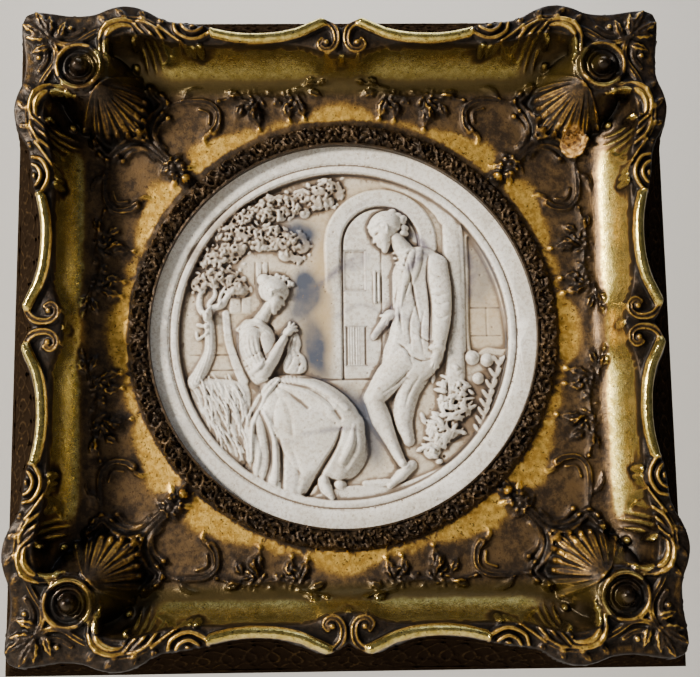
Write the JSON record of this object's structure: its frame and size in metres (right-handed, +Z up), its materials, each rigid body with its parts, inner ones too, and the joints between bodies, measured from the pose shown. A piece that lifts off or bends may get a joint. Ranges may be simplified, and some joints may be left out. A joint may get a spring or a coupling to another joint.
{
  "type": "relief plaque",
  "caption": "Round pale stone relief of a lady and a gentleman at a garden door, set in a square gilt frame with swept rails and scrolled corners.",
  "frame": {"origin": "middle of the plaque's back, where it lies on the wall", "axes": "+Y out of the back into the wall, -Y out of the carved face, +Z up as it hangs, +X to the viewer's right"},
  "size_m": [0.3, 0.041, 0.3],
  "materials": {
    "antique_gilding": "carved and gessoed, gold leaf worn over dark umber",
    "cast_marble": "matt cast marble with stained ground and grey veins"
  },
  "bodies": {
    "root": {"frame": "antique_gilding", "roundel": "cast_marble"}
  },
  "joints": []
}
